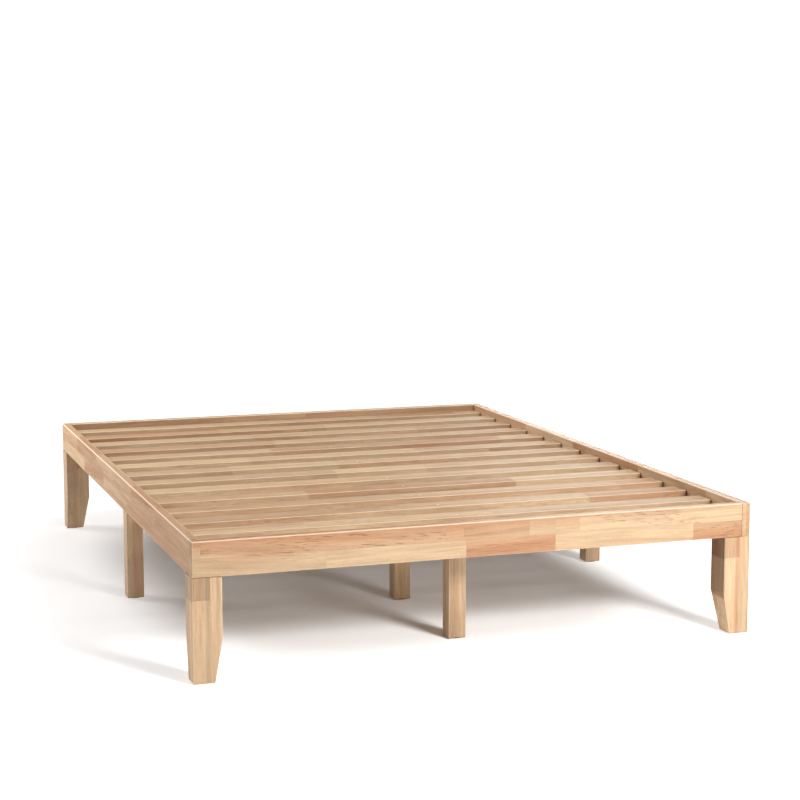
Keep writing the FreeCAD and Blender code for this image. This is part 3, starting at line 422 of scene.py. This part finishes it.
# ---------------------------------------------------------------- legs
def dress_legs():
    """Legs are glued from two laminations each way. The foot corner legs have a joint below the rails."""
    joint = 0.212
    rows = (
        (0.0, ((0.0, 0.20, 0.26, 0.2), (joint, 0.30, -0.30, 0.1))),
        (0.045, ((0.0, 0.10, 0.22, 0.1),)),
    )
    drift = (
        (0.029, 0.0, 0.0), (0.036, -0.14, -0.46), (0.043, -0.14, -0.46), (0.048, 0.0, 0.0),
        (0.059, 0.0, 0.0), (0.063, 0.26, -0.10), (0.069, 0.26, -0.10), (0.073, -0.10, 0.10),
    )
    dress_board("foot_left_leg", UPRIGHT, rows, ((0.041, 0.15, -0.08),), drift, seed=7.7)

    low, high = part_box("foot_right_leg")
    wide = high[0] - low[0]
    glued = wide - 0.031
    rows = (
        (0.0, ((0.0, 0.0, 0.45, 0.1), (joint, 0.58, 0.08, 0.1))),
        (glued, ((0.0, 0.0, 0.12, 0.1),)),
    )
    # The inner face has painted shade, browner and darker than the rest, because the lights alone leave it
    # brighter than in the photograph. Then come a pink stripe beside the glue line and a pink outer edge.
    drift = (
        (-0.001, 0.0, 0.0), (0.0, 0.25, -0.95), (0.0015, 0.25, -0.95), (0.003, 0.0, 0.0),
        (glued - 0.015, 0.0, 0.0), (glued - 0.009, 0.50, -0.10),
        (glued - 0.003, 0.50, -0.10), (glued, 0.0, 0.0),
        (wide - 0.010, 0.0, 0.0), (wide - 0.006, 0.40, 0.0),
    )
    dress_board("foot_right_leg", UPRIGHT, rows, ((0.036, 0.25, -0.10),), drift, seed=3.2)

    others = ["head_left_leg", "head_right_leg", "left_middle_leg", "right_middle_leg"]
    others += [f"centre_leg_{number}" for number in range(1, 5)]
    for number, name in enumerate(others):
        draw = random.Random(70 + number)
        low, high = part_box(name)
        size = [top - bottom for bottom, top in zip(low, high)]
        rows = tuple(
            (start, random_staves(draw, size[2], 0.14, 0.60, 0.24))
            for start in (0.0, size[0] * draw.uniform(0.38, 0.62))
        )
        layer = (size[1] * draw.uniform(0.4, 0.6), draw.uniform(-0.3, 0.3), draw.uniform(-0.1, 0.1))
        dress_board(name, UPRIGHT, rows, (layer,), seed=9.0 + 2.3 * number)


# ---------------------------------------------------------------- ledgers, beam and slats
def dress_deck():
    """Plain planed boards: ledgers and beam of long staves, slats of finger-jointed ones."""
    strips = [name for name in sorted(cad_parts) if "ledger_" in name and "_end" in name]
    for number, name in enumerate(strips + ["centre_beam"]):
        draw = random.Random(110 + number)
        low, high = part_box(name)
        rows = ((0.0, random_staves(draw, high[1] - low[1], 0.30, 0.80, 0.25)),)
        dress_board(name, ALONG_BED, rows, gloss=-0.12, seed=31.0 + 1.7 * number)
    slats = [name for name in sorted(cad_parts) if name[:5] == "slat_" and name[5:].isdigit()]
    for number, name in enumerate(slats):
        draw = random.Random(150 + number)
        low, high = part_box(name)
        rows = ((0.0, random_staves(draw, high[0] - low[0], 0.22, 0.75, 0.18)),)
        dress_board(name, SLAT_WISE, rows, gloss=-0.10, seed=52.0 + 1.3 * number)


# ---------------------------------------------------------------- metal, dowels and felt
def metal_material(name, colour, roughness, speckle, metallic=1.0):
    """Metal with faint blotches and fine scratches."""
    material, g, shader = new_material(name)
    place = g.tree.nodes.new("ShaderNodeTexCoord").outputs["Object"]
    blotch = g.noise(place, (180.0, 180.0, 180.0), detail=3.0)
    scratch = g.noise(place, (2600.0, 500.0, 2600.0), detail=2.0)
    dark = rgb(*(0.72 * part for part in colour[:3]))
    g.feed(shader.inputs["Base Color"], g.mix(g.between(blotch, 0.35, 0.70), colour, dark))
    rough = g.math("MULTIPLY_ADD", g.math("SUBTRACT", scratch, 0.5), speckle, roughness)
    g.feed(shader.inputs["Roughness"], rough)
    bump = g.add("ShaderNodeBump", {"Height": scratch, "Strength": 0.25, "Distance": 0.0001})
    g.feed(shader.inputs["Normal"], bump)
    shader.inputs["Metallic"].default_value = metallic
    return material


def felt_material():
    """Pressed felt: matted fibres in a mixed brown."""
    material, g, shader = new_material("felt")
    place = g.tree.nodes.new("ShaderNodeTexCoord").outputs["Object"]
    fibres = g.noise(place, (900.0, 900.0, 1600.0), detail=4.0, roughness=0.7)
    clumps = g.noise(place, (160.0, 160.0, 300.0), detail=2.0)
    colour = g.mix(fibres, rgb(0.06, 0.045, 0.035), rgb(0.22, 0.175, 0.135))
    colour = g.mix(g.math("MULTIPLY", clumps, 0.35), colour, rgb(0.30, 0.25, 0.20))
    g.feed(shader.inputs["Base Color"], colour)
    g.feed(shader.inputs["Roughness"], g.math("MULTIPLY_ADD", fibres, 0.1, 0.88))
    bump = g.add("ShaderNodeBump", {"Height": fibres, "Strength": 0.6, "Distance": 0.0006})
    g.feed(shader.inputs["Normal"], bump)
    shader.inputs["Sheen Weight"].default_value = 0.3
    return material


def dress_fittings():
    """Zinc-plated fasteners, brass inserts, black hangers, beech dowels and felt pads."""
    zinc = metal_material("zinc_plate", rgb(0.60, 0.60, 0.57), 0.34, 0.30)
    brass = metal_material("turned_brass", rgb(0.68, 0.50, 0.24), 0.30, 0.20)
    black = metal_material("black_powder_coat", rgb(0.025, 0.025, 0.027), 0.55, 0.25, metallic=0.0)
    felt = felt_material()
    for name in ("corner_bolts", "middle_leg_bolts", "bolt_washers", "centre_leg_hanger_bolts", "slat_screws",
                 "ledger_screws", "hanger_flange_screws", "hanger_cheek_screws"):
        wear(name, zinc)
    for name in ("rail_threaded_inserts", "beam_threaded_inserts"):
        wear(name, brass)
    for name in ("foot_beam_hanger", "head_beam_hanger"):
        wear(name, black)
    dress_board("corner_dowels", UPRIGHT, ((0.0, ((0.0, 0.30, -0.10, 0.2),)),), gloss=-0.2, seed=81.0)
    wear("felt_pads", felt)


# ---------------------------------------------------------------- studio
def add_floor():
    """A plain pale floor that reaches past every view, and glows white away from the bed."""
    half = 30.0
    mesh = bpy.data.meshes.new("floor")
    corners = [(-half, -half, 0), (half, -half, 0), (half, half, 0), (-half, half, 0)]
    mesh.from_pydata(corners, [], [(0, 1, 2, 3)])
    floor = bpy.data.objects.new("floor", mesh)
    bpy.context.collection.objects.link(floor)
    material, g, shader = new_material("pale_floor")
    place = g.tree.nodes.new("ShaderNodeTexCoord").outputs["Object"]
    cloud = g.noise(place, (1.5, 1.5, 1.5), detail=2.0)
    g.feed(shader.inputs["Base Color"], g.mix(cloud, rgb(0.84, 0.838, 0.835), rgb(0.88, 0.878, 0.875)))
    # 1 round the bed's outline, with rounded corners, and growing away from it.
    parts = [
        g.math("POWER", g.math("DIVIDE", g.math("ABSOLUTE", part), half_side), 4.0)
        for part, half_side in zip(g.split(place), cad_box[1][:2])
    ]
    outline = g.math("POWER", g.math("ADD", *parts), 0.25)
    near_strength, far_strength = 0.58, 0.36
    near_glow = g.math("MULTIPLY", g.between(outline, 0.72, 1.10), near_strength)
    far_glow = g.math("MULTIPLY", g.between(outline, 1.08, 1.62), far_strength)
    g.feed(shader.inputs["Emission Strength"], g.math("ADD", near_glow, far_glow))
    shader.inputs["Emission Color"].default_value = rgb(1.0, 1.0, 1.0)
    shader.inputs["Roughness"].default_value = 0.7
    shader.inputs["Specular IOR Level"].default_value = 0.2
    mesh.materials.append(material)
    return floor


def lit_group(name, things):
    """A collection of objects that a lamp can be kept to."""
    group = bpy.data.collections.new(name)
    for thing in things:
        group.objects.link(thing)
    return group


def add_lamp(name, place, target, size, power, receivers=None):
    """A square soft box that shines from place towards target, on one collection if one is given."""
    data = bpy.data.lights.new(name, "AREA")
    data.size = size
    data.energy = power
    lamp = bpy.data.objects.new(name, data)
    lamp.light_linking.receiver_collection = receivers
    lamp.location = place
    aim = Vector(target) - Vector(place)
    lamp.rotation_euler = aim.to_track_quat("-Z", "Y").to_euler()
    bpy.context.collection.objects.link(lamp)


def add_light(floor):
    """A bright studio: a white horizon under a dim ceiling, a key at the foot, and soft boxes for the bed
    alone above it, behind it and at its left. The boxes above and at the left don't light the centre legs and
    two right legs, which are dark in the photograph. The key and the left box have a twin each for the floor.
    """
    scene = bpy.context.scene
    scene.view_settings.view_transform = "Standard"
    world = bpy.data.worlds.new("studio")
    world.use_nodes = True
    scene.world = world
    g = Graph(world.node_tree)
    world.node_tree.nodes.clear()
    direction = g.tree.nodes.new("ShaderNodeTexCoord").outputs["Generated"]
    height = g.split(direction)[2]
    horizon, ceiling = 1.05, 0.06
    strength = g.add("ShaderNodeMapRange", {0: height, 1: 0.08, 2: 0.22, 3: horizon, 4: ceiling})
    background = g.add("ShaderNodeBackground", {"Color": rgb(1.0, 1.0, 1.0), "Strength": strength})
    output = g.tree.nodes.new("ShaderNodeOutputWorld")
    g.feed(output.inputs[0], background)
    shaded_legs = ["foot_right_leg", "right_middle_leg"]
    shaded_legs += [f"centre_leg_{number}" for number in range(1, 5)]
    bed = lit_group("bed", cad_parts.values())
    in_the_open = [node for name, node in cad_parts.items() if name not in shaded_legs]
    open_pieces = lit_group("open_pieces", in_the_open)
    ground = lit_group("ground", [floor])
    key_place, key_target = (1.2, -4.0, 1.9), (0.1, -0.6, 0.1)
    add_lamp("key", key_place, key_target, 0.8, 134.0)
    add_lamp("key_on_floor", key_place, key_target, 1.2, 140.0, ground)
    add_lamp("overhead", (0.2, -0.3, 3.4), (0.1, -0.2, 0.0), 3.0, 88.0, open_pieces)
    add_lamp("back", (2.8, 4.2, 1.1), (0.3, 0.6, 0.2), 1.5, 80.0, bed)
    side_place, side_target = (-3.0, 2.4, 2.6), (-0.8, 1.0, 0.1)
    add_lamp("side", side_place, side_target, 1.6, 200.0, open_pieces)
    add_lamp("side_on_floor", side_place, side_target, 1.6, 42.0, ground)


def add_camera():
    """A long lens, low over the floor, at the foot of the bed and to its left."""
    low, high = cad_box
    data = bpy.data.cameras.new("camera")
    data.sensor_width = 36.0
    data.lens = 83.9
    camera = bpy.data.objects.new("camera", data)
    left_of_middle, before_foot, above_rails = 1.743, 4.401, 0.976
    camera.location = (-left_of_middle, low[1] - before_foot, high[2] + above_rails)
    look_down, look_right = math.radians(7.94), math.radians(18.93)
    camera.rotation_euler = (math.pi / 2 - look_down, 0.0, -look_right)
    bpy.context.collection.objects.link(camera)
    bpy.context.scene.camera = camera


dress_rails()
dress_legs()
dress_deck()
dress_fittings()
add_light(add_floor())
add_camera()
